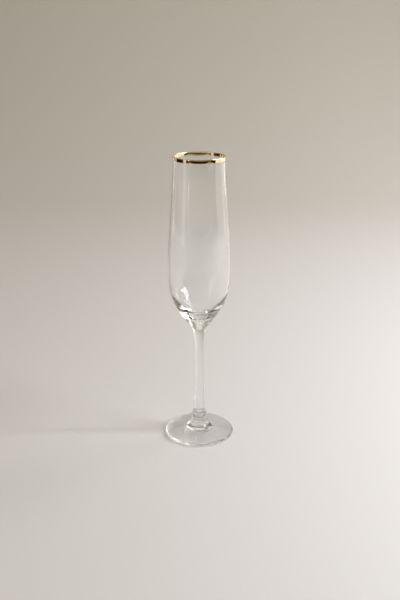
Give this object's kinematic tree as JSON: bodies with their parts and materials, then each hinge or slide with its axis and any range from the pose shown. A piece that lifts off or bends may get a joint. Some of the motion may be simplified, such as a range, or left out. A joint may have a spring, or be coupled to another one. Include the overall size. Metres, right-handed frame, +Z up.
{
  "type": "champagne flute",
  "caption": "Tall clear-glass champagne flute: long tapered bowl with a heavy base, slim stem, round foot and a thin gold band on the lip.",
  "frame": {"origin": "centre of the ring the foot rests on, on the table plane", "axes": "+Z up along the stem's axis of revolution, towards the lip; +X and +Y are any two square directions"},
  "size_m": [0.0584, 0.0584, 0.24],
  "materials": {
    "clear_glass": "fire-polished clear crystal glass",
    "gold_band": "fired bright gold, polished"
  },
  "bodies": {
    "root": {"bowl": "clear_glass", "stem": "clear_glass", "foot": "clear_glass", "gold_rim": "gold_band"}
  },
  "joints": []
}
